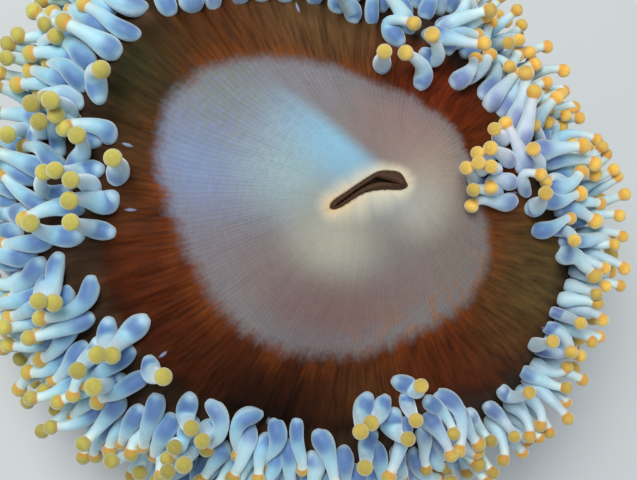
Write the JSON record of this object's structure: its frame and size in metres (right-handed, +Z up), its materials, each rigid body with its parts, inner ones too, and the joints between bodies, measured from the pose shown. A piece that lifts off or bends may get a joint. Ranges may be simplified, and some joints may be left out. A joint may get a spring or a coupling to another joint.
{
  "type": "magnificent sea anemone",
  "caption": "Sea anemone with a flat foot, a short column, a wide domed disc with a slit mouth, and a crown of knobbed tentacles on its drooping margin.",
  "frame": {"origin": "middle of the foot's flat underside, at floor level", "axes": "+Z up through the middle of the column to the mouth; +X runs towards the margin's high fold, roughly along the mouth's slit"},
  "size_m": [0.1935, 0.1876, 0.0921],
  "materials": {
    "body_wall": "moist, leathery skin",
    "disc": "moist, finely striped skin",
    "lips": "moist, pleated skin",
    "tentacles": "moist, translucent skin with matte yellow tips"
  },
  "bodies": {
    "root": {"foot": "body_wall", "column": "body_wall", "oral_disc": "disc", "lips": "lips", "crown_01": "tentacles", "crown_02": "tentacles", "crown_03": "tentacles", "crown_04": "tentacles", "crown_05": "tentacles", "crown_06": "tentacles", "crown_07": "tentacles", "crown_08": "tentacles", "crown_09": "tentacles", "crown_10": "tentacles"}
  },
  "joints": []
}
